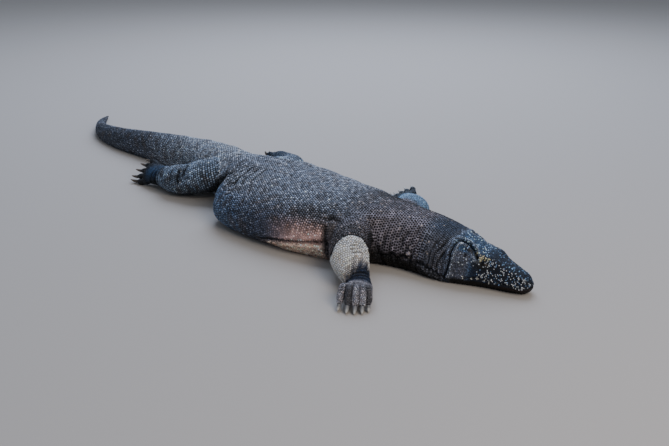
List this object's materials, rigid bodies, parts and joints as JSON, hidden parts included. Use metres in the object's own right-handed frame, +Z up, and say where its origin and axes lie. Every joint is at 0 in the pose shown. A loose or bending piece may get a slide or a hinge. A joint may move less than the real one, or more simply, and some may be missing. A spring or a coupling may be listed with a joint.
{
  "type": "komodo dragon",
  "caption": "Life-size komodo dragon lying flat on its belly with sprawled legs, head low and tail stretched out behind in a slight curve; a still model.",
  "frame": {"origin": "middle of the footprint on the ground, under the belly", "axes": "+X towards the head along the body, +Y towards the animal's left side, +Z up"},
  "size_m": [2.3028, 0.7588, 0.1599],
  "materials": {
    "pebbled_hide": "matt pebbled reptile hide, grey-brown beads on dark skin",
    "dark_hide": "matt slate-dark reptile hide with fine scales",
    "pale_hide": "matt dusty pale reptile hide",
    "claw_horn": "dark keratin, slightly glossy",
    "eye": "wet dark brown eye"
  },
  "bodies": {
    "root": {"claw_foot_left_1": "claw_horn", "claw_foot_left_2": "claw_horn", "claw_foot_left_3": "claw_horn", "claw_foot_left_4": "claw_horn", "claw_foot_left_5": "claw_horn", "claw_foot_right_1": "claw_horn", "claw_foot_right_2": "claw_horn", "claw_foot_right_3": "claw_horn", "claw_foot_right_4": "claw_horn", "claw_foot_right_5": "claw_horn", "claw_hand_left_1": "claw_horn", "claw_hand_left_2": "claw_horn", "claw_hand_left_3": "claw_horn", "claw_hand_left_4": "claw_horn", "claw_hand_left_5": "claw_horn", "claw_hand_right_1": "claw_horn", "claw_hand_right_2": "claw_horn", "claw_hand_right_3": "claw_horn", "claw_hand_right_4": "claw_horn", "claw_hand_right_5": "claw_horn", "eye_left": "eye", "eye_right": "eye", "foot_left": "dark_hide", "foot_right": "dark_hide", "forearm_left": "pale_hide", "forearm_right": "pale_hide", "hand_left": "dark_hide", "hand_right": "dark_hide", "head": "dark_hide", "lower_jaw": "dark_hide", "neck": "pebbled_hide", "shank_left": "pebbled_hide", "shank_right": "pebbled_hide", "tail_base": "pebbled_hide", "tail_end": "pebbled_hide", "tail_middle": "pebbled_hide", "thigh_left": "pebbled_hide", "thigh_right": "pebbled_hide", "trunk": "pebbled_hide", "upper_arm_left": "pale_hide", "upper_arm_right": "pale_hide"}
  },
  "joints": []
}
